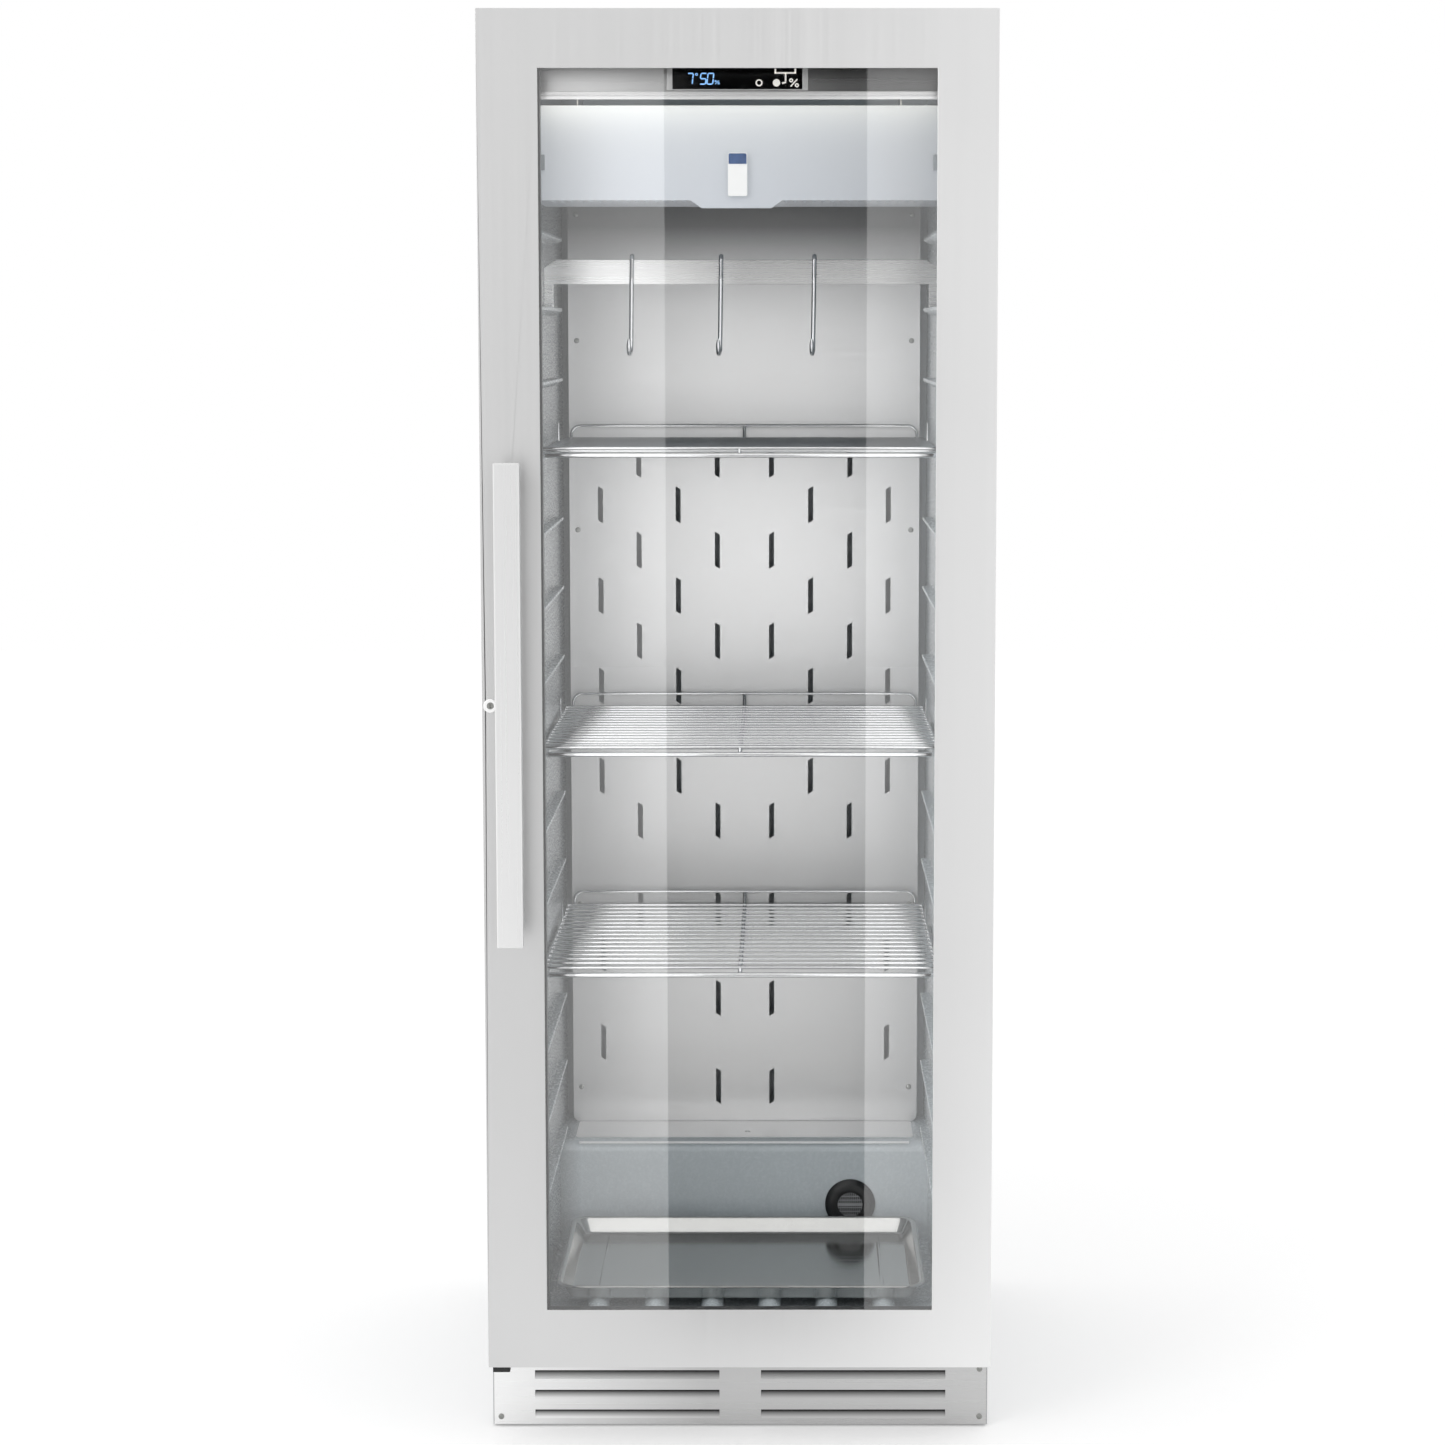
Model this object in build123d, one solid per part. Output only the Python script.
from build123d import *
import math
import os

os.makedirs("parts", exist_ok=True)

# Overall sizes of the cabinet, in millimetres. X runs across, the front faces -Y, and Z is up.
cabinet_width = 595.0
cabinet_height = 1683.0
cabinet_depth = 600.0
door_thickness = 46.0
door_gap = 10.0
handle_reach = 50.0

# One overrun serves every cut, and one small gap keeps curved faces of moving pieces apart
overrun = 5.0
contact_gap = 0.3

# Depth planes, from the handle at the front to the back panel
overall_depth = cabinet_depth + door_gap + door_thickness + handle_reach
door_front_y = handle_reach - overall_depth / 2
door_back_y = door_front_y + door_thickness
front_y = door_back_y + door_gap
back_y = front_y + cabinet_depth

# Outer case
case_sheet = 1.0
case_bottom = 3.0
body_bottom = 78.0
base_sheet = 2.0
base_bottom = 16.0
frame_sheet = 2.0
half_width = cabinet_width / 2
case_half = half_width - case_sheet
case_back_y = back_y - case_sheet
case_top = cabinet_height - case_sheet
base_top = base_bottom + base_sheet

# Cavity and its moulded liner
side_wall = 54.5
cavity_floor = 118.0
roof_wall = 43.0
rear_wall = 56.0
liner_wall = 2.0
cavity_width = cabinet_width - 2 * side_wall
cavity_half = cavity_width / 2
cavity_top = cabinet_height - roof_wall
cavity_back_y = back_y - rear_wall
liner_front_y = front_y + frame_sheet
liner_half = cavity_half + liner_wall

# Step over the machine room
step_height = 131.0
step_depth = 151.0
step_radius = 15.0
step_wall = 30.0
step_top = cavity_floor + step_height
step_front_y = cavity_back_y - step_depth
machine_room_top = step_top - liner_wall - step_wall
machine_room_front_y = step_front_y + liner_wall + step_wall

# Shelf runners moulded into both side walls
runner_count = 14
top_runner_drop = 208.0
low_runner_rise = 26.0
runner_reach = 12.0
runner_height = 10.0
runner_lip = 4.0
runner_setback = 8.0
runner_back_gap = 170.0
runner_front_y = liner_front_y + runner_setback
runner_back_y = cavity_back_y - runner_back_gap
top_runner_height = cavity_top - top_runner_drop
runner_pitch = (top_runner_height - step_top - low_runner_rise) / (runner_count - 1)

# Half-round ribs in the cavity floor
rib_count = 6
rib_pitch_share = 0.144
rib_width = 27.0
rib_height = 20.0
rib_setback = 17.0
rib_end_gap = 9.0
rib_front_y = liner_front_y + rib_setback
rib_back_y = step_front_y - rib_end_gap
rib_pitch = rib_pitch_share * cavity_width

# Plinth grille with two groups of louvres
plinth_sheet = 1.2
plinth_seam = 0.5
louvre_margin = 49.5
louvre_middle_gap = 50.0
louvre_height = 10.6
louvre_pitch = 24.4
louvre_rows = 3
lowest_louvre = 15.7
louvre_depth = 4.7
louvre_rise = 9.0
louvre_blade = 1.0
plinth_flange = 14.0
plinth_top = body_bottom - plinth_seam
louvre_length = case_half - louvre_margin - louvre_middle_gap / 2
louvre_centre_x = (louvre_middle_gap + louvre_length) / 2

# Screws of the sheet panels
screw_head = 7.0
screw_head_height = 1.8
screw_shank = 3.0
screw_length = 7.0
screw_hole_gap = 0.2
plinth_screw_edge = 8.5
plinth_screw_low = 12.5
plinth_screw_high = 71.5

# Vents in the cover of the machine room
vent_count = 16
vent_width = 4.0
vent_height = 70.0
vent_margin = 50.5
vent_bottom = 90.0

# Levelling feet
foot_pad = 36.0
foot_pad_height = 10.0
foot_stem = 10.0
foot_stem_above = 14.0
foot_inset_x = 48.0
foot_inset_front = 34.0
foot_inset_back = 36.0

# Door
door_bottom = 92.0
door_top_gap = 5.0
door_border = 70.0
door_top_border = 67.0
door_sheet = 1.5
door_rear_cover = 2.0
door_cover_margin = 3.0
glass_lap = 24.0
glass_wall = 4.0
glass_edge_gap = 1.0
spacer_depth = 16.0
spacer_shift = 2.5
spacer_set_side = 0.5
spacer_set_end = 2.0
bead_lap = 12.0
door_top = cabinet_height - door_top_gap
door_middle = (door_bottom + door_top) / 2
opening_width = cabinet_width - 2 * door_border
opening_bottom = door_bottom + door_border
opening_top = door_top - door_top_border
opening_half = opening_width / 2
core_front_y = door_front_y + door_sheet
core_back_y = door_back_y - door_rear_cover
outer_glass_back_y = core_front_y + glass_wall
inner_glass_front_y = outer_glass_back_y + spacer_depth
inner_glass_back_y = inner_glass_front_y + glass_wall

# Door gasket
gasket_margin = 5.0
gasket_width = 18.0
gasket_neck = 10.0
gasket_lip = 3.0

# Hinges on the right-hand side
pivot_inset = 12.5
pivot_depth = 23.0
hinge_arm_half = 11.0
hinge_arm = 3.0
hinge_arm_clearance = 1.5
hinge_plate = 3.0
hinge_plate_width = 26.5
hinge_plate_height = 40.0
hinge_front_wall = 4.5
hinge_pin = 8.0
hinge_pin_length = 20.0
bush_diameter = 14.0
bush_length = 12.0
bush_bore_gap = 0.05
pin_end_gap = 2.0
hinge_pocket_height = 2 * hinge_arm_clearance + hinge_arm
pivot_x = half_width - pivot_inset
pivot_y = door_front_y + pivot_depth

# Handle on the left-hand side
handle_width = 30.0
handle_length = 559.0
handle_bar_depth = 12.0
handle_inset = 34.5
handle_rise = 0.5
handle_post = 14.0
handle_post_inset = 24.0
handle_edge = 1.0
handle_x = handle_inset - half_width
handle_bottom = door_middle + handle_rise - handle_length / 2
handle_front_y = door_front_y - handle_reach
handle_bar_back_y = handle_front_y + handle_bar_depth

# Lock beside the handle, and its strike on the cabinet
lock_inset = 10.0
lock_drop = 3.0
lock_ring = 16.5
lock_ring_depth = 2.5
lock_barrel_diameter = 13.0
lock_plug_diameter = 8.0
lock_running_gap = 0.05
key_slot_width = 1.6
key_slot_height = 5.0
key_slot_depth = 3.0
cam_gap = 2.0
cam_thickness = 2.5
cam_reach = 9.5
cam_width = 6.0
cam_tail = 4.0
strike_sheet = 1.2
strike_gap = 0.2
strike_lap = 5.0
strike_width = 11.0
strike_base_height = 14.0
strike_tip_gap = 0.8
lock_x = lock_inset - half_width
lock_height = door_middle - lock_drop
cam_front_y = door_back_y + cam_gap
cam_back_y = cam_front_y + cam_thickness

# Black corner block under the free corner of the door
corner_block_width = 20.3
corner_block_height = 8.0
corner_block_depth = 24.0
corner_block_inset = 4.5
corner_block_setback = 6.0

# Fascia with the display
fascia_gap = 4.0
fascia_sheet = 3.0
fascia_height = 51.0
fascia_side_gap = 1.0
display_width = 150.0
display_height = 38.0
display_depth = 2.0
display_base = 2.6
display_offset = -1.0
bezel_side = 6.5
bezel_rim = 1.6
bezel_depth = 2.5
trim_height = 9.0
trim_depth = 8.0
trim_groove = 1.4
lamp_height = 8.0
lamp_depth = 30.0
lamp_side_gap = 8.0
lamp_setback = 2.0
lamp_drop = 6.0
housing_wall = 2.0
housing_depth = 34.0
board_width = 180.0
board_height = 32.0
board_thickness = 1.6
board_stand_off = 6.0
board_post = 5.0
fascia_y = front_y + fascia_gap
fascia_half = cavity_half - fascia_side_gap
fascia_back_y = fascia_y + fascia_sheet
fascia_bottom = cavity_top - fascia_height
lamp_bottom = fascia_bottom - lamp_drop
lamp_top = lamp_bottom + lamp_height
display_bottom = fascia_bottom + display_base
display_middle = display_bottom + display_height / 2

# Evaporator behind its moulded cover
cover_setback = 44.0
cover_drop = 174.0
cover_height = 110.0
cover_depth = 195.0
cover_wall = 2.5
cover_side_gap = 2.0
cover_tab_top = 108.0
cover_tab_base = 82.0
cover_tab_drop = 9.0
cover_tab_offset = -3.0
vent_slot_pitch = 11.0
vent_slot_width = 4.5
long_slot = 34.0
short_slot = 12.0
slot_margin = 14.0
slot_row_gap = 16.0
clip_width = 16.0
clip_height = 18.0
clip_depth = 3.0
clip_rise = 35.0
sensor_width = 22.6
sensor_height = 50.0
sensor_depth = 8.0
sensor_offset = -1.5
sensor_rise = 5.0
sensor_radius = 2.0
coil_side_gap = 53.0
coil_depth = 88.0
coil_height = 78.0
coil_setback = 38.0
coil_lift = 12.0
fin_pitch = 15.2
fin_sheet = 0.8
end_plate = 1.5
coil_tube = 9.0
coil_tube_rows = 3
coil_tube_columns = 3
cover_front_y = front_y + cover_setback
cover_back_y = cover_front_y + cover_depth
cover_bottom = cavity_top - cover_drop
cover_top = cover_bottom + cover_height
clip_base = cover_bottom + clip_rise
sensor_base = cover_bottom + sensor_rise
coil_length = cavity_width - 2 * coil_side_gap
cover_half = cavity_half - cover_side_gap

# Axial fans
fan_bore_gap = 2.0
fan_rim = 3.0
fan_hub_share = 0.36
fan_blade_count = 7
fan_blade_sheet = 1.6
fan_blade_angle = 35
fan_chord_share = 0.85
fan_blade_root = 1.5
fan_hub_gap = 1.0
fan_spindle = 4.0
fan_spindle_gap = 0.05
fan_arm_width = 6.0
fan_back_sheet = 3.0
evaporator_fan_size = 92.0
evaporator_fan_depth = 25.0
condenser_fan_size = 120.0
condenser_fan_depth = 32.0

# Duct panel at the back of the cavity
duct_side_gap = 11.0
duct_depth = 44.0
duct_sheet = 1.0
duct_lap = 24.0
duct_corner = 9.5
duct_screw_inset = 11.0
duct_screw_shares = (0.0387, 0.2409, 0.444, 0.6463, 0.8477, 0.9807)
slit_width = 6.7
slit_length = 45.5
slit_rise = 4.5
slit_corner = 1.0
inner_slit_share = 0.155
second_slit_share = 0.379
third_slit_share = 0.603
outer_slit_share = 0.823
slit_pitch_share = 0.04875
top_slit_share = 0.722
odd_row_shares = (inner_slit_share, third_slit_share)
even_row_shares = (second_slit_share, outer_slit_share)
duct_y = cavity_back_y - duct_depth - duct_sheet
duct_width = cavity_width - 2 * duct_side_gap
duct_top = cover_bottom + duct_lap
duct_height = duct_top - step_top
slit_pitch = slit_pitch_share * duct_height
top_slit_height = step_top + top_slit_share * duct_height
slit_row_shares = (
    odd_row_shares, even_row_shares, odd_row_shares, even_row_shares, odd_row_shares, even_row_shares,
    odd_row_shares, even_row_shares, odd_row_shares, (), odd_row_shares, (outer_slit_share,),
    (inner_slit_share,), (outer_slit_share,), (inner_slit_share,),
)

# Charcoal filter in the face of the step
filter_inset = 103.0
filter_height = 165.0
filter_cap = 66.0
filter_cap_depth = 7.0
filter_cartridge = 54.0
filter_bevel = 6.0
filter_bevel_depth = 4.0
filter_grate = 33.0
filter_recess = 2.5
filter_crossbar = 3.0
filter_bar = 1.0
filter_bar_count = 11
filter_end_gap = 4.0
filter_x = cavity_half - filter_inset

# Hanging rail and its hooks
rail_runner = 1
rail_setback = 220.0
rail_sheet = 3.0
rail_bar_height = 30.0
rail_leg_height = 28.0
rail_side_gap = 1.0
rail_leg_width = 11.0
rail_foot_depth = 20.0
rail_corner_width = 15.0
rail_corner_height = 10.0
hook_wire = 5.0
hook_place_shares = {"left": -0.5514, "middle": -0.1008, "right": 0.3704}
hook_back_drop = 16.0
hook_shank = 104.0
hook_bend = 11.0
hook_tip = 1.5
hook_point = 6.0
hook_point_width = 2.2
rail_y = front_y + rail_setback
rail_foot_z = top_runner_height - rail_runner * runner_pitch
rail_top = rail_foot_z + rail_leg_height + rail_bar_height

# Wire shelves
upper_shelf_row = 3
middle_shelf_row = 7
lower_shelf_row = 10
shelf_frame_wire = 6.0
shelf_wire = 4.0
shelf_side_gap = 3.0
shelf_setback = 36.0
shelf_back_gap = 7.0
shelf_wire_pitch = 26.0
weld_share = 0.85
front_rail_rise = 8.0
front_rail_set = 5.0
shelf_stop_height = 28.0
shelf_stop_setback = 112.0
upstand_side_gap = 15.0
upstand_height = 21.0
upstand_bend = 12.0
shelf_front_y = front_y + shelf_setback
shelf_back_y = duct_y - shelf_back_gap
upstand_width = cavity_width - 2 * upstand_side_gap

# Drip tray on the floor ribs
tray_side_gap = 23.0
tray_back_gap = 39.0
tray_height = 20.0
tray_sheet = 1.2
tray_corner = 22.0
tray_rim = 5.0
tray_rim_height = 2.4
tray_rim_radius = 1.0
tray_draft = 10.0
tray_crease = 2.5
tray_crease_depth = 0.4
tray_crease_inset = 46.0
tray_crease_gap = 8.0
tray_setback = 54.0
tray_width = cavity_width - 2 * tray_side_gap
tray_length = step_front_y - tray_back_gap - front_y - tray_setback
tray_y = front_y + tray_setback + tray_length / 2
tray_bottom = cavity_floor + rib_height + contact_gap
tray_crease_x = tray_width / 2 - tray_crease_inset

# Machine room
compressor_diameter = 150.0
compressor_height = 150.0
compressor_dome = 34.0
compressor_seam = 3.0
machine_inset = 166.5
compressor_plate = 3.0
compressor_plate_width = 170.0
compressor_plate_depth = 120.0
mount_diameter = 20.0
mount_height = 12.0
mount_inset = 14.0
condenser_width = 150.0
condenser_depth = 60.0
condenser_height = 150.0
condenser_gap = 14.0
condenser_fin_pitch = 7.5
condenser_tube = 7.0
condenser_tube_columns = 2
condenser_tube_rows = 6
fan_stand_off = 8.0
water_tray_width = 200.0
water_tray_length = 130.0
water_tray_height = 22.0
water_tray_sheet = 2.0
water_tray_inset = 30.0
drain_bore = 14.0
drain_wall = 1.5
drain_inset = 26.0
drain_end_gap = 6.0
gland_x = -40.0
gland_height = 40.0
gland_flange = 22.0
gland_flange_depth = 3.0
gland_body = 14.0
gland_bore = 8.0
gland_inside = 10.0
machine_room_y = (machine_room_front_y + case_back_y) / 2
compressor_x = case_half - machine_inset
condenser_x = -compressor_x
vent_pitch = (case_half - gland_flange - vent_margin) / vent_count


def block(x_span, y_span, z_span):
    """A box between two corners, with each span given as (low, high)."""
    spans = (x_span, y_span, z_span)
    size = [high - low for low, high in spans]
    middle = [(high + low) / 2 for low, high in spans]
    return Pos(*middle) * Box(*size)


def both_ways(half):
    """The span of a size that lies evenly about the middle."""
    return (-half, half)


def about(middle, size):
    """The span of a size that lies evenly about a given middle."""
    return (middle - size / 2, middle + size / 2)


def spread(middle, pitch, count):
    """Places at an even pitch, evenly about a middle."""
    return [middle + (number - (count - 1) / 2) * pitch for number in range(count)]


def parted(span, count):
    """The middles of the equal parts of a span."""
    return spread((span[0] + span[1]) / 2, (span[1] - span[0]) / count, count)


def rod(start, end, diameter):
    """A round bar from one point to another."""
    reach = Vector(*end) - Vector(*start)
    lower_end = (Align.CENTER, Align.CENTER, Align.MIN)
    return Plane(origin=start, z_dir=reach) * Cylinder(diameter / 2, reach.length, align=lower_end)


def along_y(diameter, x, z, y_span):
    """A round bar that runs from front to back."""
    return rod((x, y_span[0], z), (x, y_span[1], z), diameter)


def extruded_x(points, x_span):
    """A solid with an outline of (y, z) points, drawn out across the cabinet."""
    outline = Plane.YZ.offset(x_span[0]) * make_face(Polyline(*points, close=True))
    return extrude(outline, amount=x_span[1] - x_span[0], dir=(1, 0, 0))


def extruded_y(points, y_span):
    """A solid with an outline of (x, z) points, drawn out from front to back."""
    corners = [(x, y_span[0], z) for x, z in points]
    return extrude(make_face(Polyline(*corners, close=True)), amount=y_span[1] - y_span[0], dir=(0, 1, 0))


def ring_y(outer, inner, y_span):
    """A rectangular ring: outer and inner hold an x span and a z span."""
    cut_span = (y_span[0] - overrun, y_span[1] + overrun)
    return block(outer[0], y_span, outer[1]) - block(inner[0], cut_span, inner[1])


def grown(frame, margin):
    """An x span and a z span, each made larger by a margin at both ends."""
    return tuple((low - margin, high + margin) for low, high in frame)


def mirrored(shape):
    """The same piece on the other side of the cabinet."""
    return mirror(shape, about=Plane.YZ)


def save(node, *pieces):
    """Write one node, as one solid or as a group of separate solids."""
    solids = [solid for piece in pieces for solid in piece.solids()]
    shape = solids[0] if len(solids) == 1 else Compound(solids)
    shape.label = node
    export_step(shape, os.path.join("parts", node + ".step"))


cavity_frame = (both_ways(cavity_half), (cavity_floor, cavity_top))
opening_frame = (both_ways(opening_half), (opening_bottom, opening_top))
door_outline = (both_ways(half_width), (door_bottom, door_top))
case_depth_span = (liner_front_y, case_back_y)


def screw(x, z, face_y):
    """A pan-head screw whose head lies on a face that looks to the front."""
    head = along_y(screw_head, x, z, (face_y - screw_head_height, face_y))
    head = fillet(head.edges().group_by(Axis.Y)[0], screw_head_height / 2)
    return head + along_y(screw_shank, x, z, (face_y, face_y + screw_length))


def screw_hole(x, z, face_y):
    """The hole that a screw passes through."""
    return along_y(screw_shank + screw_hole_gap, x, z, (face_y - overrun, face_y + overrun))


plinth_screw_x = case_half - plinth_screw_edge
plinth_screws = ((-plinth_screw_x, plinth_screw_low), (plinth_screw_x, plinth_screw_low),
                 (plinth_screw_x, plinth_screw_high))
duct_screw_x = duct_width / 2 - duct_screw_inset
duct_screws = tuple((side * duct_screw_x, step_top + share * duct_height)
                    for side in (-1, 1) for share in duct_screw_shares)


def build_case():
    """Sheet steel panels, front frame and base plate."""
    side_depth = (front_y, back_y)
    side_height = (case_bottom, cabinet_height)
    save("left_side_panel", block((-half_width, -case_half), side_depth, side_height))
    save("right_side_panel", block((case_half, half_width), side_depth, side_height))
    save("top_panel", block(both_ways(case_half), side_depth, (case_top, cabinet_height)))
    save("back_panel", block(both_ways(case_half), (case_back_y, back_y), (machine_room_top, case_top)))
    frame_outline = (both_ways(case_half), (body_bottom, case_top))
    save("front_frame", ring_y(frame_outline, cavity_frame, (front_y, liner_front_y)))
    base = block(both_ways(case_half), (front_y + plinth_flange, case_back_y), (base_bottom, base_top))
    for x, y in foot_places():
        base -= Pos(x, y, base_bottom) * Cylinder(foot_stem / 2 + contact_gap, 2 * overrun)
    save("base_plate", base)


def foot_places():
    """The four places of the levelling feet."""
    foot_x = half_width - foot_inset_x
    return [(side * foot_x, y) for side in (-1, 1)
            for y in (front_y + foot_inset_front, back_y - foot_inset_back)]


def build_feet():
    """Levelling feet: a round pad, a collar under the base plate and a stem through it."""
    upright = (Align.CENTER, Align.CENTER, Align.MIN)
    feet = []
    for x, y in foot_places():
        pad = Cylinder(foot_pad / 2, foot_pad_height, align=upright)
        pad = fillet(pad.edges().group_by(Axis.Z)[-1], foot_pad_height / 4)
        collar_height = base_bottom - foot_pad_height
        collar = Pos(0, 0, foot_pad_height) * Cylinder(foot_stem, collar_height, align=upright)
        stem_height = base_sheet + foot_stem_above
        stem = Pos(0, 0, base_bottom) * Cylinder(foot_stem / 2, stem_height, align=upright)
        feet.append(Pos(x, y, 0) * (pad + collar + stem))
    save("levelling_feet", *feet)


def step_block(inset, x_span):
    """The step over the machine room, set inwards by an inset, with its front edge rounded."""
    step = block(x_span, (step_front_y + inset, back_y + overrun), (cavity_floor - overrun, step_top - inset))
    edge = step.edges().filter_by(Axis.X).sort_by(lambda e: e.center().Z - e.center().Y)[-1]
    return fillet(edge, step_radius - inset)


def floor_rib(x):
    """A half-round floor rib, as a straight body and two domed ends."""
    radius = rib_width / 2
    crown = cavity_floor + rib_height - radius
    slant = radius / math.sqrt(2)
    front, back = rib_front_y + radius, rib_back_y - radius
    pieces = [block(about(x, rib_width), (front, back), (cavity_floor, crown)),
              along_y(rib_width, x, crown, (front, back))
              & block(about(x, rib_width), (front, back), (crown, crown + radius))]
    for y, turn in ((front, -1), (back, 1)):
        side = Polyline((x, y, crown + radius), (x, y, cavity_floor), (x + radius, y, cavity_floor),
                        (x + radius, y, crown))
        arc = ThreePointArc((x + radius, y, crown), (x + slant, y, crown + slant), (x, y, crown + radius))
        pieces.append(revolve(make_face(side + arc), axis=Axis((x, y, 0), (0, 0, turn)), revolution_arc=180))
    return pieces


def build_liner():
    """The moulded liner of the cavity, with its runners, floor ribs, step and drain."""
    shell = block(both_ways(liner_half), (liner_front_y, cavity_back_y + liner_wall),
                  (cavity_floor - liner_wall, cavity_top + liner_wall))
    shell -= step_block(liner_wall, both_ways(liner_half + overrun))
    room = block(both_ways(cavity_half), (liner_front_y - overrun, cavity_back_y), (cavity_floor, cavity_top))
    shell -= room - step_block(0, both_ways(cavity_half + overrun))
    pieces = []
    for row in range(runner_count):
        top = top_runner_height - row * runner_pitch
        tip = cavity_half - runner_reach
        outline = ((cavity_half, top), (tip, top), (tip, top - runner_lip), (cavity_half, top - runner_height))
        runner = extruded_y(outline, (runner_front_y, runner_back_y))
        pieces += [runner, mirrored(runner)]
    for x in spread(0, rib_pitch, rib_count):
        pieces += floor_rib(x)
    shell = shell + pieces
    shell -= along_y(filter_cartridge + 2 * contact_gap, filter_x, filter_height,
                     (step_front_y - overrun, step_front_y + overrun))
    shell -= Pos(0, drain_y(), cavity_floor) * Cylinder(drain_bore / 2, 2 * overrun)
    save("inner_liner", shell)


def drain_y():
    """The depth at which the floor drain lies."""
    return step_front_y - drain_inset


def build_insulation():
    """Foam slabs between the liner and the case."""
    wall_height = (body_bottom, case_top)
    side = block((liner_half, case_half), case_depth_span, wall_height)
    liner_roof = cavity_top + liner_wall
    roof = block(both_ways(liner_half), case_depth_span, (liner_roof, case_top))
    back = block(both_ways(liner_half), (cavity_back_y + liner_wall, case_back_y),
                 (step_top - liner_wall, liner_roof))
    save("insulation_walls", side, mirrored(side), roof, back)
    step_foam_y = step_front_y + liner_wall
    floor = block(both_ways(liner_half), (liner_front_y, step_foam_y), (body_bottom, cavity_floor - liner_wall))
    floor -= Pos(0, drain_y(), body_bottom) * Cylinder(drain_outside() / 2, cavity_floor)
    riser = block(both_ways(liner_half), (step_foam_y, machine_room_front_y), (body_bottom, machine_room_top))
    riser -= along_y(filter_cartridge + 2 * contact_gap, filter_x, filter_height,
                     (step_front_y, machine_room_front_y + overrun))
    tread = block(both_ways(liner_half), (step_foam_y, case_back_y), (machine_room_top, step_top - liner_wall))
    edge = tread.edges().filter_by(Axis.X).sort_by(lambda e: e.center().Z - e.center().Y)[-1]
    tread = fillet(edge, step_radius)
    save("insulation_floor", floor, riser, tread)


def drain_outside():
    """The outer diameter of the drain pipe."""
    return drain_bore + 2 * drain_wall


def build_drain():
    """Drain pipe through the floor foam, and the tray that takes its water."""
    tray_top = base_top + water_tray_height
    pipe_bottom = base_top + water_tray_sheet + drain_end_gap
    pipe = rod((0, drain_y(), pipe_bottom), (0, drain_y(), cavity_floor - liner_wall), drain_outside())
    pipe -= rod((0, drain_y(), pipe_bottom - overrun), (0, drain_y(), cavity_floor + overrun), drain_bore)
    save("drain_pipe", pipe)
    y_span = (drain_y() + water_tray_inset - water_tray_length, drain_y() + water_tray_inset)
    tray = block(both_ways(water_tray_width / 2), y_span, (base_top, tray_top))
    inside_x = both_ways(water_tray_width / 2 - water_tray_sheet)
    inside_y = (y_span[0] + water_tray_sheet, y_span[1] - water_tray_sheet)
    tray -= block(inside_x, inside_y, (base_top + water_tray_sheet, tray_top + overrun))
    save("condensate_tray", tray)


def build_plinth():
    """Front grille of the plinth, with louvres pressed inwards."""
    plate = block(both_ways(case_half), (front_y, front_y + plinth_sheet), (case_bottom, plinth_top))
    plate += block(both_ways(case_half), (front_y, front_y + plinth_flange), (plinth_top - plinth_sheet, plinth_top))
    blades = []
    for side in (-1, 1):
        x_span = about(side * louvre_centre_x, louvre_length)
        for row in range(louvre_rows):
            middle = lowest_louvre + row * louvre_pitch
            low = middle - louvre_height / 2
            plate -= block(x_span, (front_y - overrun, front_y + overrun), (low, middle + louvre_height / 2))
            back = front_y + louvre_blade
            outline = ((front_y, low - louvre_blade), (front_y, low), (front_y + louvre_depth, low + louvre_rise),
                       (back + louvre_depth, low + louvre_rise), (back, low), (back, low - louvre_blade))
            blades.append(extruded_x(outline, x_span))
    plate = plate + blades
    for x, z in plinth_screws:
        plate -= screw_hole(x, z, front_y)
    save("plinth_grille", plate)
    screws = [screw(x, z, front_y) for x, z in plinth_screws]
    screws += [screw(x, z, duct_y) for x, z in duct_screws]
    save("panel_screws", *screws)


def build_machine_room_cover():
    """Vented sheet that closes the machine room at the back."""
    cover = block(both_ways(case_half), (case_back_y, back_y), (base_top, machine_room_top))
    for side in (-1, 1):
        for number in range(vent_count):
            x = side * (vent_pitch * number + vent_pitch + gland_flange)
            z_span = (vent_bottom, vent_bottom + vent_height)
            cover -= block(about(x, vent_width), (case_back_y - overrun, back_y + overrun), z_span)
    cover -= along_y(gland_body + 2 * contact_gap, gland_x, gland_height, (case_back_y - overrun, back_y + overrun))
    save("machine_room_cover", cover)
    flange_y = back_y - gland_flange_depth
    gland = along_y(gland_flange, gland_x, gland_height, (case_back_y - gland_flange_depth, case_back_y))
    gland += along_y(gland_body, gland_x, gland_height, (flange_y - gland_inside, back_y))
    gland -= along_y(gland_bore, gland_x, gland_height, (flange_y - gland_inside - overrun, back_y + overrun))
    save("cable_gland", gland)


def hinge_end(top):
    """The heights of one hinge: the pocket's outer and inner end, and the arm's two faces."""
    outer = door_top if top else door_bottom
    inward = -1 if top else 1
    inner = outer + inward * hinge_pocket_height
    arm_outer = outer + inward * hinge_arm_clearance
    arm_inner = arm_outer + inward * hinge_arm
    return outer, inner, arm_outer, arm_inner, inward


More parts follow.
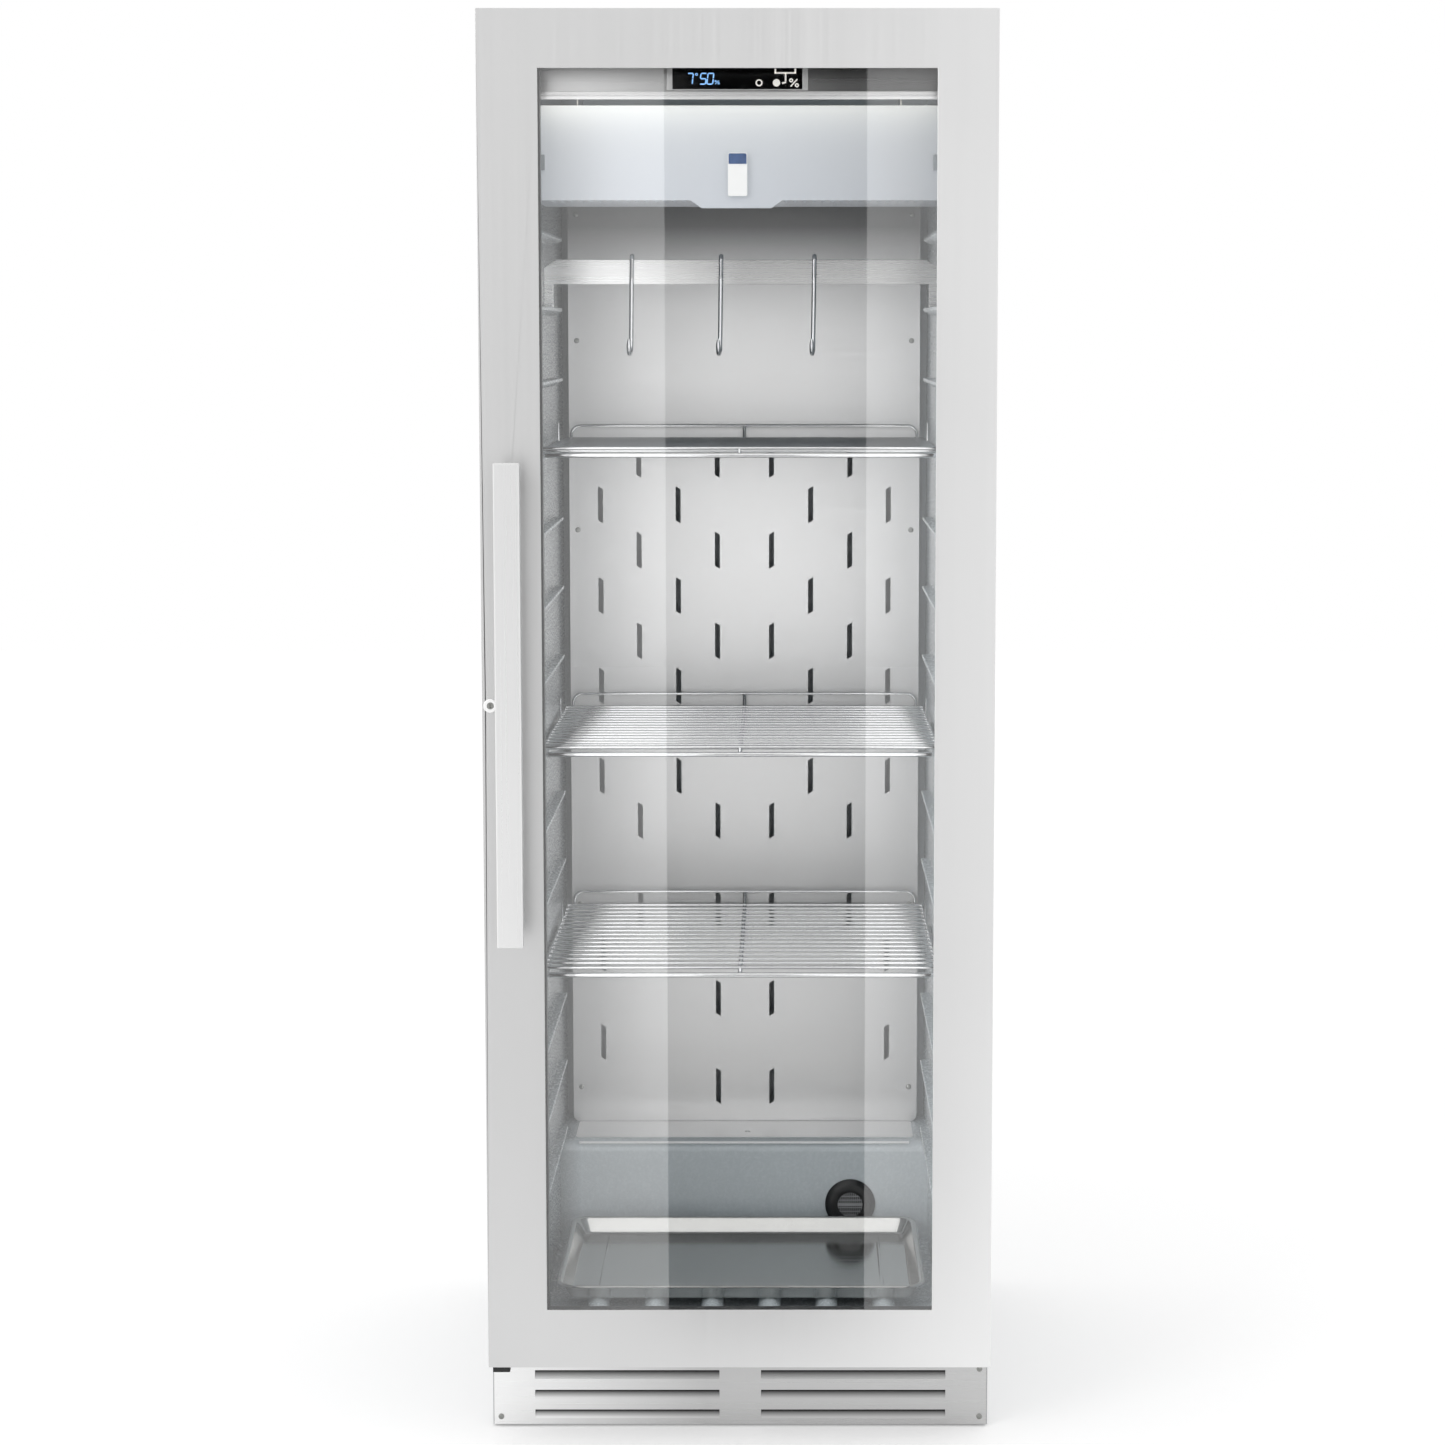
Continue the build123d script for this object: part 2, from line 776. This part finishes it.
def hinge_cuts():
    """What the hinges and the lock take out of the door, as (wide cuts, bush seats)."""
    wide, seats = [], []
    for top in (False, True):
        outer, inner, _, _, inward = hinge_end(top)
        z_span = sorted((outer - inward * overrun, inner))
        x_span = (pivot_x - hinge_arm_half - hinge_arm_clearance, half_width + overrun)
        wide.append(block(x_span, (door_front_y + hinge_front_wall, door_back_y + overrun), z_span))
        bush_end = inner + inward * bush_length
        seats.append(rod((pivot_x, pivot_y, inner - inward * overrun), (pivot_x, pivot_y, bush_end), bush_diameter))
        pin_end = outer + inward * (hinge_arm_clearance + hinge_arm + hinge_pin_length + pin_end_gap)
        seats.append(rod((pivot_x, pivot_y, inner), (pivot_x, pivot_y, pin_end), hinge_pin + pin_end_gap))
    return wide, seats


def build_hinges():
    """Hinge brackets on the front frame, their pins, and the bushes in the door."""
    brackets, pins, bushes = [], [], []
    for top in (False, True):
        _, inner, arm_outer, arm_inner, inward = hinge_end(top)
        arm_z = sorted((arm_outer, arm_inner))
        middle_z = (arm_outer + arm_inner) / 2
        arm = block(about(pivot_x, 2 * hinge_arm_half), (pivot_y, front_y), arm_z)
        arm += Pos(pivot_x, pivot_y, middle_z) * Cylinder(hinge_arm_half, hinge_arm)
        plate_z = sorted((arm_outer, arm_outer + inward * hinge_plate_height))
        plate = block((case_half - hinge_plate_width, case_half), (front_y - hinge_plate, front_y), plate_z)
        bracket = arm + plate
        pin_start = (pivot_x, pivot_y, arm_outer)
        pin_stop = (pivot_x, pivot_y, arm_inner + inward * hinge_pin_length)
        brackets.append(bracket - rod(pin_start, (pivot_x, pivot_y, arm_inner + inward * overrun), hinge_pin))
        pins.append(rod(pin_start, pin_stop, hinge_pin))
        bush_end = (pivot_x, pivot_y, inner + inward * bush_length)
        bush = rod((pivot_x, pivot_y, inner), bush_end, bush_diameter)
        bore_start = (pivot_x, pivot_y, inner - inward * overrun)
        bore_end = (pivot_x, pivot_y, inner + inward * (bush_length + overrun))
        bushes.append(bush - rod(bore_start, bore_end, hinge_pin + 2 * bush_bore_gap))
    save("hinge_brackets", *brackets)
    save("hinge_pins", *pins)
    save("door_bushes", *bushes)


def build_door():
    """Door leaf: steel frame, foam core, double glass, rear cover, gasket, handle and lock."""
    wide_cuts, bush_seats = hinge_cuts()
    lock_hole = along_y(lock_barrel_diameter + 2 * contact_gap, lock_x, lock_height,
                        (door_front_y - overrun, door_back_y + overrun))
    frame = ring_y(door_outline, opening_frame, (door_front_y, core_back_y))
    inner_outline = grown(door_outline, -door_sheet)
    frame -= block(inner_outline[0], (core_front_y, core_back_y + overrun), inner_outline[1])
    save("door_frame", frame - wide_cuts - lock_hole)
    glass_frame = grown(opening_frame, glass_lap)
    recess = grown(glass_frame, glass_edge_gap)
    core = ring_y(inner_outline, recess, (core_front_y, core_back_y))
    save("door_core", core - wide_cuts - bush_seats - lock_hole)
    save("outer_glass", block(glass_frame[0], (core_front_y, outer_glass_back_y), glass_frame[1]))
    save("inner_glass", block(glass_frame[0], (inner_glass_front_y, inner_glass_back_y), glass_frame[1]))
    spacer_x = (spacer_shift - opening_half - spacer_set_side, spacer_shift + opening_half + spacer_set_side)
    spacer_z = (opening_bottom - spacer_set_end, opening_top + spacer_set_end)
    save("glass_spacer", ring_y(glass_frame, (spacer_x, spacer_z), (outer_glass_back_y, inner_glass_front_y)))
    bead_inside = grown(opening_frame, bead_lap)
    rear_cover = ring_y(recess, bead_inside, (inner_glass_back_y, door_back_y))
    rear_cover += ring_y(grown(door_outline, -door_cover_margin), bead_inside, (core_back_y, door_back_y))
    save("door_inner_frame", rear_cover - wide_cuts - lock_hole)
    gasket_inside = grown(cavity_frame, gasket_margin)
    gasket_outside = grown(gasket_inside, gasket_width)
    neck_inset = (gasket_width - gasket_neck) / 2
    gasket = ring_y(gasket_outside, gasket_inside, (door_back_y, door_back_y + gasket_lip))
    gasket += ring_y(gasket_outside, gasket_inside, (front_y - gasket_lip, front_y))
    gasket += ring_y(grown(gasket_outside, -neck_inset), grown(gasket_inside, neck_inset), (door_back_y, front_y))
    save("door_gasket", gasket)
    block_x = corner_block_inset - half_width
    block_y = door_front_y + corner_block_setback
    save("door_corner_block", block((block_x, block_x + corner_block_width),
                                    (block_y, block_y + corner_block_depth),
                                    (door_bottom - corner_block_height, door_bottom)))


def build_handle():
    """Flat handle bar on two round posts."""
    handle_top = handle_bottom + handle_length
    bar = block(about(handle_x, handle_width), (handle_front_y, handle_bar_back_y), (handle_bottom, handle_top))
    save("handle_bar", chamfer(bar.edges(), handle_edge))
    heights = (handle_bottom + handle_post_inset, handle_top - handle_post_inset)
    posts = [along_y(handle_post, handle_x, z, (handle_bar_back_y, door_front_y)) for z in heights]
    save("handle_posts", *posts)


def build_lock():
    """Lock barrel with its ring, the turning plug with the cam, and the strike on the cabinet."""
    ring_front = door_front_y - lock_ring_depth
    barrel = along_y(lock_ring, lock_x, lock_height, (ring_front, door_front_y))
    barrel = chamfer(barrel.edges().group_by(Axis.Y)[0], lock_ring_depth / 3)
    barrel += along_y(lock_barrel_diameter, lock_x, lock_height, (door_front_y, door_back_y))
    barrel -= along_y(lock_plug_diameter + 2 * lock_running_gap, lock_x, lock_height,
                      (ring_front - overrun, door_back_y + overrun))
    save("lock_barrel", barrel)
    plug = along_y(lock_plug_diameter, lock_x, lock_height, (ring_front, cam_back_y))
    plug -= block(about(lock_x, key_slot_width), (ring_front - overrun, ring_front + key_slot_depth),
                  about(lock_height, key_slot_height))
    plug += block((lock_x - cam_reach, lock_x + cam_tail), (cam_front_y, cam_back_y), about(lock_height, cam_width))
    save("lock_plug", plug)
    tip_top = lock_height + math.hypot(cam_reach, cam_width / 2) + strike_tip_gap
    lip_back = cam_front_y - strike_gap
    lip = block(about(lock_x, strike_width), (lip_back - strike_sheet, lip_back),
                (tip_top - strike_lap, tip_top + strike_sheet))
    leg = block(about(lock_x, strike_width), (lip_back, front_y), (tip_top, tip_top + strike_sheet))
    base = block(about(lock_x, strike_width), (front_y - strike_sheet, front_y),
                 (tip_top, tip_top + strike_base_height))
    save("strike_plate", lip + leg + base)


def build_fascia():
    """Control fascia above the cavity, with the display, trim, lamp and control housing."""
    fascia = block(both_ways(fascia_half), (fascia_y, fascia_back_y), (fascia_bottom, cavity_top))
    save("fascia", fascia)
    screen_x = about(display_offset, display_width)
    screen_z = (display_bottom, display_bottom + display_height)
    screen = block(screen_x, (fascia_y - display_depth, fascia_y), screen_z)
    save("display_screen", screen)
    bezel_outline = ((screen_x[0] - bezel_side, screen_x[1] + bezel_side),
                     (screen_z[0] - bezel_rim, screen_z[1] + bezel_rim))
    save("display_bezel", ring_y(bezel_outline, (screen_x, screen_z), (fascia_y - bezel_depth, fascia_y)))
    trim_front = fascia_back_y - trim_depth
    trim = block(both_ways(fascia_half), (trim_front, fascia_back_y), (fascia_bottom - trim_height, fascia_bottom))
    groove_z = about(fascia_bottom - trim_height / 2, trim_groove)
    trim -= block(both_ways(fascia_half + overrun), (trim_front - overrun, trim_front + trim_groove), groove_z)
    save("fascia_trim", trim)
    housing_back = fascia_back_y + housing_depth
    housing = block(both_ways(fascia_half), (fascia_back_y, housing_back), (lamp_top, cavity_top))
    inside_x = both_ways(fascia_half - housing_wall)
    housing -= block(inside_x, (fascia_back_y - overrun, housing_back - housing_wall),
                     (lamp_top + housing_wall, cavity_top + overrun))
    save("control_housing", housing)
    board_y = fascia_back_y + board_stand_off
    board = block(about(display_offset, board_width), (board_y, board_y + board_thickness),
                  about(display_middle, board_height))
    for side in (-1, 1):
        post_x = display_offset + side * (board_width / 2 - board_post)
        board += along_y(board_post, post_x, display_middle, (fascia_back_y, board_y))
    save("control_board", board)
    lamp_y = fascia_back_y + lamp_setback
    save("led_lamp", block(both_ways(fascia_half - lamp_side_gap), (lamp_y, lamp_y + lamp_depth),
                           (lamp_bottom, lamp_top)))


def slot_cut(x, y, length):
    """A round-ended slot that runs from front to back through the cover's underside."""
    outline = Pos(x, y, cover_bottom - overrun) * SlotOverall(length, vent_slot_width, rotation=90)
    return extrude(outline, amount=2 * overrun)


def build_evaporator():
    """Moulded evaporator cover with its air slots, the finned coil, and the fan's frame and rotor."""
    cover = block(both_ways(cover_half), (cover_front_y, cover_back_y), (cover_bottom, cover_top))
    cover -= block(both_ways(cover_half - cover_wall), (cover_front_y + cover_wall, cover_back_y - cover_wall),
                   (cover_bottom + cover_wall, cover_top + overrun))
    tab_points = ((cover_tab_offset - cover_tab_top / 2, cover_bottom),
                  (cover_tab_offset + cover_tab_top / 2, cover_bottom),
                  (cover_tab_offset + cover_tab_base / 2, cover_bottom - cover_tab_drop),
                  (cover_tab_offset - cover_tab_base / 2, cover_bottom - cover_tab_drop))
    cover += extruded_y(tab_points, (cover_front_y, cover_front_y + cover_wall))
    slots = []
    long_y = cover_front_y + slot_margin + long_slot / 2
    short_y = long_y + (long_slot + short_slot) / 2 + slot_row_gap
    per_row = int((2 * cover_half - 2 * slot_margin) / vent_slot_pitch)
    for x in spread(0, vent_slot_pitch, per_row):
        slots += [slot_cut(x, long_y, long_slot), slot_cut(x, short_y, short_slot)]
    cover = cover - slots
    fan_z = cover_bottom + cover_height / 2
    cover -= along_y(evaporator_fan_size - 2 * fan_rim, 0, fan_z, (cover_back_y - overrun, cover_back_y + overrun))
    save("evaporator_cover", cover)
    clip_y = (cover_front_y - clip_depth, cover_front_y)
    clip = block((cavity_half - clip_width, cavity_half), clip_y, (clip_base, clip_base + clip_height))
    save("cover_clips", clip, mirrored(clip))
    sensor = block(about(sensor_offset, sensor_width), (cover_front_y - sensor_depth, cover_front_y),
                   (sensor_base, sensor_base + sensor_height))
    save("sensor_housing", fillet(sensor.edges().filter_by(Axis.Y), sensor_radius))
    build_coil()
    fan_back = cover_back_y - cover_wall
    build_fan("evaporator_fan", 0, fan_z, fan_back, evaporator_fan_size, evaporator_fan_depth)


def build_coil():
    """Finned evaporator coil whose end plates hang from the roof of the cavity."""
    y_span = (cover_front_y + coil_setback, cover_front_y + coil_setback + coil_depth)
    z_span = (cover_bottom + coil_lift, cover_bottom + coil_lift + coil_height)
    fins = [block(about(x, fin_sheet), y_span, z_span)
            for x in spread(0, fin_pitch, int(coil_length / fin_pitch))]
    plate = block((coil_length / 2, coil_length / 2 + end_plate), y_span, (z_span[0], cavity_top))
    reach = coil_length / 2 + coil_tube
    tubes = [rod((-reach, y, z), (reach, y, z), coil_tube)
             for y in parted(y_span, coil_tube_columns) for z in parted(z_span, coil_tube_rows)]
    save("evaporator_coil", tubes[0] + tubes[1:] + fins + [plate, mirrored(plate)])


def build_fan(name, x, z, back, size, depth):
    """Axial fan: a square frame with a back spider and spindle, and a rotor that turns on it."""
    front = back - depth
    bore = size - 2 * fan_rim
    hub = size * fan_hub_share
    frame = block(about(x, size), (front, back), about(z, size))
    frame -= along_y(bore, x, z, (front - overrun, back + overrun))
    spider = (back - fan_back_sheet, back)
    frame += along_y(hub, x, z, spider)
    frame += block(about(x, size - fan_rim), spider, about(z, fan_arm_width))
    frame += block(about(x, fan_arm_width), spider, about(z, size - fan_rim))
    hub_front = front + fan_rim
    spindle_front = hub_front + fan_rim
    frame += along_y(fan_spindle, x, z, (spindle_front, back))
    save(name + "_frame", frame)
    hub_back = spider[0] - fan_hub_gap
    rotor = along_y(hub, x, z, (hub_front, hub_back))
    blade_reach = bore / 2 - fan_bore_gap
    chord = fan_chord_share * (hub_back - hub_front) / math.sin(math.radians(fan_blade_angle))
    root = hub / 2 - fan_blade_root
    blade = Box(fan_blade_sheet, chord, blade_reach - root, align=(Align.CENTER, Align.CENTER, Align.MIN))
    blade = Pos(0, 0, root) * Rot(0, 0, fan_blade_angle) * blade
    blade_y = (hub_front + hub_back) / 2
    slab = along_y(2 * blade_reach, 0, 0, (hub_front - blade_y, hub_back - blade_y))
    blades = [Pos(x, blade_y, z) * Rot(0, 360 / fan_blade_count * number, 0) * (blade & slab)
              for number in range(fan_blade_count)]
    rotor = rotor + blades
    rotor -= along_y(fan_spindle + 2 * fan_spindle_gap, x, z, (spindle_front - fan_hub_gap, back))
    save(name + "_rotor", rotor)


def slit(x, z):
    """An upright air slit with slanted ends; the two halves of the panel mirror each other."""
    lean = -slit_rise / 2 if x < 0 else slit_rise / 2
    left, right = about(x, slit_width)
    low, high = about(z, slit_length)
    corners = ((left, low - lean), (right, low + lean), (right, high + lean), (left, high - lean))
    outline = make_face(Polyline(*[(x, duct_y - overrun, z) for x, z in corners], close=True))
    outline = fillet(outline.vertices(), slit_corner)
    return extrude(outline, amount=2 * overrun, dir=(0, 1, 0))


def build_duct():
    """Steel duct panel at the back of the cavity, with its air slits."""
    plate = block(both_ways(duct_width / 2), (duct_y, duct_y + duct_sheet), (step_top, duct_top))
    corners = plate.edges().filter_by(Axis.Y).group_by(Axis.Z)[0]
    plate = fillet(corners, duct_corner)
    side = block((duct_width / 2 - duct_sheet, duct_width / 2), (duct_y, cavity_back_y),
                 (step_top + duct_corner, duct_top))
    plate = plate + [side, mirrored(side)]
    slits = []
    for row, shares in enumerate(slit_row_shares):
        for share in shares:
            x = share * duct_width / 2
            z = top_slit_height - row * slit_pitch
            slits += [slit(-x, z), slit(x, z)]
    holes = [screw_hole(x, z, duct_y) for x, z in duct_screws]
    save("rear_duct_panel", plate - slits - holes)


def build_filter():
    """Charcoal filter: a cartridge in the step's face under a bevelled cap with a fine grate."""
    cap_front = step_front_y - filter_cap_depth
    rim_front = cap_front + filter_bevel_depth
    cap = along_y(filter_cap, filter_x, filter_height, (rim_front, step_front_y))
    bevel = Cone(filter_cap / 2, filter_cap / 2 - filter_bevel, filter_bevel_depth,
                 align=(Align.CENTER, Align.CENTER, Align.MIN))
    cap += Plane(origin=(filter_x, rim_front, filter_height), z_dir=(0, -1, 0)) * bevel
    cap -= along_y(filter_grate, filter_x, filter_height, (cap_front - overrun, cap_front + filter_recess))
    bar_y = (cap_front + filter_recess / 2, cap_front + filter_recess)
    bars = [block(about(filter_x, filter_grate), bar_y, about(filter_height, filter_crossbar))]
    for shift in spread(0, filter_grate / filter_bar_count, filter_bar_count):
        half = math.sqrt((filter_grate / 2) ** 2 - shift ** 2) + filter_bar
        bars.append(block(about(filter_x + shift, filter_bar), bar_y, about(filter_height, 2 * half)))
        bars.append(block(about(filter_x, 2 * half), bar_y, about(filter_height + shift, filter_bar)))
    cap = cap + bars
    cap += along_y(filter_cartridge, filter_x, filter_height,
                   (step_front_y, machine_room_front_y - filter_end_gap))
    save("charcoal_filter", cap)


def build_rail():
    """Flat hanging rail that stands on two runners, and three hooks that ride on it."""
    rail_half = cavity_half - rail_side_gap
    bar_bottom = rail_foot_z + rail_leg_height
    points = ((-rail_half, rail_foot_z), (-rail_half, rail_top - rail_corner_height),
              (rail_corner_width - rail_half, rail_top), (rail_half - rail_corner_width, rail_top),
              (rail_half, rail_top - rail_corner_height), (rail_half, rail_foot_z),
              (rail_half - rail_leg_width, rail_foot_z), (rail_half - rail_leg_width, bar_bottom),
              (rail_leg_width - rail_half, bar_bottom), (rail_leg_width - rail_half, rail_foot_z))
    rail = extruded_y(points, about(rail_y, rail_sheet))
    for side in (-1, 1):
        foot_x = sorted((side * rail_half, side * (rail_half - rail_leg_width)))
        rail += block(foot_x, about(rail_y, rail_foot_depth), (rail_foot_z, rail_foot_z + rail_sheet))
    save("hanging_rail", rail)
    for name, share in hook_place_shares.items():
        save("hook_" + name, hook(share * cavity_half))


def hook(x):
    """A bent wire hook that hangs over the rail, with a pointed tip towards the front."""
    saddle = (rail_sheet + hook_wire) / 2 + contact_gap
    back, front = rail_y + saddle, rail_y - saddle
    bend_z = rail_top - hook_shank
    tip_y = front - 2 * hook_bend
    path = Line((x, back, rail_top - hook_back_drop), (x, back, rail_top))
    path += ThreePointArc((x, back, rail_top), (x, rail_y, rail_top + saddle), (x, front, rail_top))
    path += Line((x, front, rail_top), (x, front, bend_z))
    path += ThreePointArc((x, front, bend_z), (x, front - hook_bend, bend_z - hook_bend), (x, tip_y, bend_z))
    path += Line((x, tip_y, bend_z), (x, tip_y, bend_z + hook_tip))
    section = Plane(origin=(x, back, rail_top - hook_back_drop), z_dir=(0, 0, 1)) * Circle(hook_wire / 2)
    wire = sweep(section, path=path)
    point = Cone(hook_wire / 2, hook_point_width / 2, hook_point, align=(Align.CENTER, Align.CENTER, Align.MIN))
    return wire + Pos(x, tip_y, bend_z + hook_tip) * point


def build_shelves():
    """Three welded wire shelves that lie on the runners."""
    side_x = cavity_half - shelf_side_gap - shelf_frame_wire / 2
    weld = (shelf_frame_wire + shelf_wire) / 2 * weld_share
    front = shelf_front_y + shelf_frame_wire / 2
    back = shelf_back_y - shelf_frame_wire / 2
    for name, row in (("upper", upper_shelf_row), ("middle", middle_shelf_row), ("lower", lower_shelf_row)):
        base = top_runner_height - row * runner_pitch + contact_gap + shelf_frame_wire / 2
        wires = [rod((-side_x, y, base), (side_x, y, base), shelf_frame_wire) for y in (front, back)]
        wires += [rod((side * side_x, front, base), (side * side_x, back, base), shelf_frame_wire)
                  for side in (-1, 1)]
        wires += [Pos(side * side_x, y, base) * Sphere(shelf_frame_wire / 2)
                  for side in (-1, 1) for y in (front, back)]
        wires.append(rod((0, front, base), (0, back, base), shelf_frame_wire))
        count = int((back - front) / shelf_wire_pitch)
        for number in range(1, count + 1):
            y = front + number * shelf_wire_pitch
            wires.append(rod((-side_x, y, base + weld), (side_x, y, base + weld), shelf_wire))
        rail_z = base + front_rail_rise
        rail_y_place = front + front_rail_set
        wires.append(rod((-side_x, rail_y_place, rail_z), (side_x, rail_y_place, rail_z), shelf_wire))
        wires += [rod((side * side_x, rail_y_place, base), (side * side_x, rail_y_place, rail_z), shelf_wire)
                  for side in (-1, 0, 1)]
        stop_y = front + round((back - shelf_stop_setback - front) / shelf_wire_pitch) * shelf_wire_pitch
        wires += [rod((side * side_x, stop_y, base), (side * side_x, stop_y, base + shelf_stop_height), shelf_wire)
                  for side in (-1, 1)]
        wires += upstand(base, back)
        save("shelf_" + name, wires[0] + wires[1:])


def upstand(base, y):
    """Low wire guard along the back of a shelf."""
    half = upstand_width / 2
    path = FilletPolyline((-half, y, base), (-half, y, base + upstand_height),
                          (half, y, base + upstand_height), (half, y, base), radius=upstand_bend)
    section = Plane(origin=(-half, y, base), z_dir=(0, 0, 1)) * Circle(shelf_wire / 2)
    centre = rod((0, y, base), (0, y, base + upstand_height), shelf_wire)
    return [sweep(section, path=path), centre]


def build_tray():
    """Drawn steel drip tray with sloping walls, a rolled rim and two creases, lying on the floor ribs."""
    tray_top = tray_bottom + tray_height
    rim_bottom = tray_top - tray_rim_height
    rim = extrude(tray_outline(-tray_rim, rim_bottom), amount=tray_rim_height)
    rim = fillet(rim.edges().group_by(Axis.Z)[-1] + rim.edges().group_by(Axis.Z)[0], tray_rim_radius)
    tray = loft([tray_outline(tray_draft, tray_bottom), tray_outline(0, tray_top)]) + rim
    inside_bottom = tray_bottom + tray_sheet
    tray -= loft([tray_outline(tray_draft + tray_sheet, inside_bottom), tray_outline(tray_sheet, tray_top)])
    crease_y = about(tray_y, tray_length - 2 * (tray_draft + tray_crease_gap))
    for side in (-1, 1):
        crease_x = about(side * tray_crease_x, tray_crease)
        tray -= block(crease_x, crease_y, (inside_bottom - tray_crease_depth, inside_bottom + overrun))
    save("drip_tray", tray)


def tray_outline(inset, height):
    """The tray's rounded outline, set inwards by an inset, at a given height."""
    outline = RectangleRounded(tray_width - 2 * inset, tray_length - 2 * inset, tray_corner - inset)
    return Pos(0, tray_y, height) * outline


def build_machine_room():
    """Compressor on rubber mounts, condenser and its fan."""
    plate_bottom = base_top + mount_height
    body_base = plate_bottom + compressor_plate
    radius = compressor_diameter / 2
    pot = Cylinder(radius, compressor_height)
    pot = fillet(pot.edges().filter_by(GeomType.CIRCLE), compressor_dome)
    pot += Cylinder(radius + compressor_seam, 2 * compressor_seam)
    place = Pos(compressor_x, machine_room_y, body_base + compressor_height / 2)
    plate = block(about(compressor_x, compressor_plate_width), about(machine_room_y, compressor_plate_depth),
                  (plate_bottom, body_base))
    save("compressor", place * pot + plate)
    mounts = []
    for x_side in (-1, 1):
        for y_side in (-1, 1):
            x = compressor_x + x_side * (compressor_plate_width / 2 - mount_inset)
            y = machine_room_y + y_side * (compressor_plate_depth / 2 - mount_inset)
            mounts.append(rod((x, y, base_top), (x, y, plate_bottom), mount_diameter))
    save("compressor_mounts", *mounts)
    coil_y = (machine_room_front_y + condenser_gap, machine_room_front_y + condenser_gap + condenser_depth)
    coil_z = (base_top, base_top + condenser_height)
    fins = [block(about(x, fin_sheet), coil_y, coil_z)
            for x in spread(condenser_x, condenser_fin_pitch, int(condenser_width / condenser_fin_pitch))]
    half = condenser_width / 2 + condenser_tube
    tubes = [rod((condenser_x - half, y, z), (condenser_x + half, y, z), condenser_tube)
             for y in parted(coil_y, condenser_tube_columns) for z in parted(coil_z, condenser_tube_rows)]
    save("condenser", tubes[0] + tubes[1:] + fins)
    fan_back = coil_y[1] + fan_stand_off + condenser_fan_depth
    build_fan("condenser_fan", condenser_x, base_top + condenser_fan_size / 2, fan_back,
              condenser_fan_size, condenser_fan_depth)


build_case()
build_feet()
build_liner()
build_insulation()
build_drain()
build_plinth()
build_machine_room_cover()
build_hinges()
build_door()
build_handle()
build_lock()
build_fascia()
build_evaporator()
build_duct()
build_filter()
build_rail()
build_shelves()
build_tray()
build_machine_room()
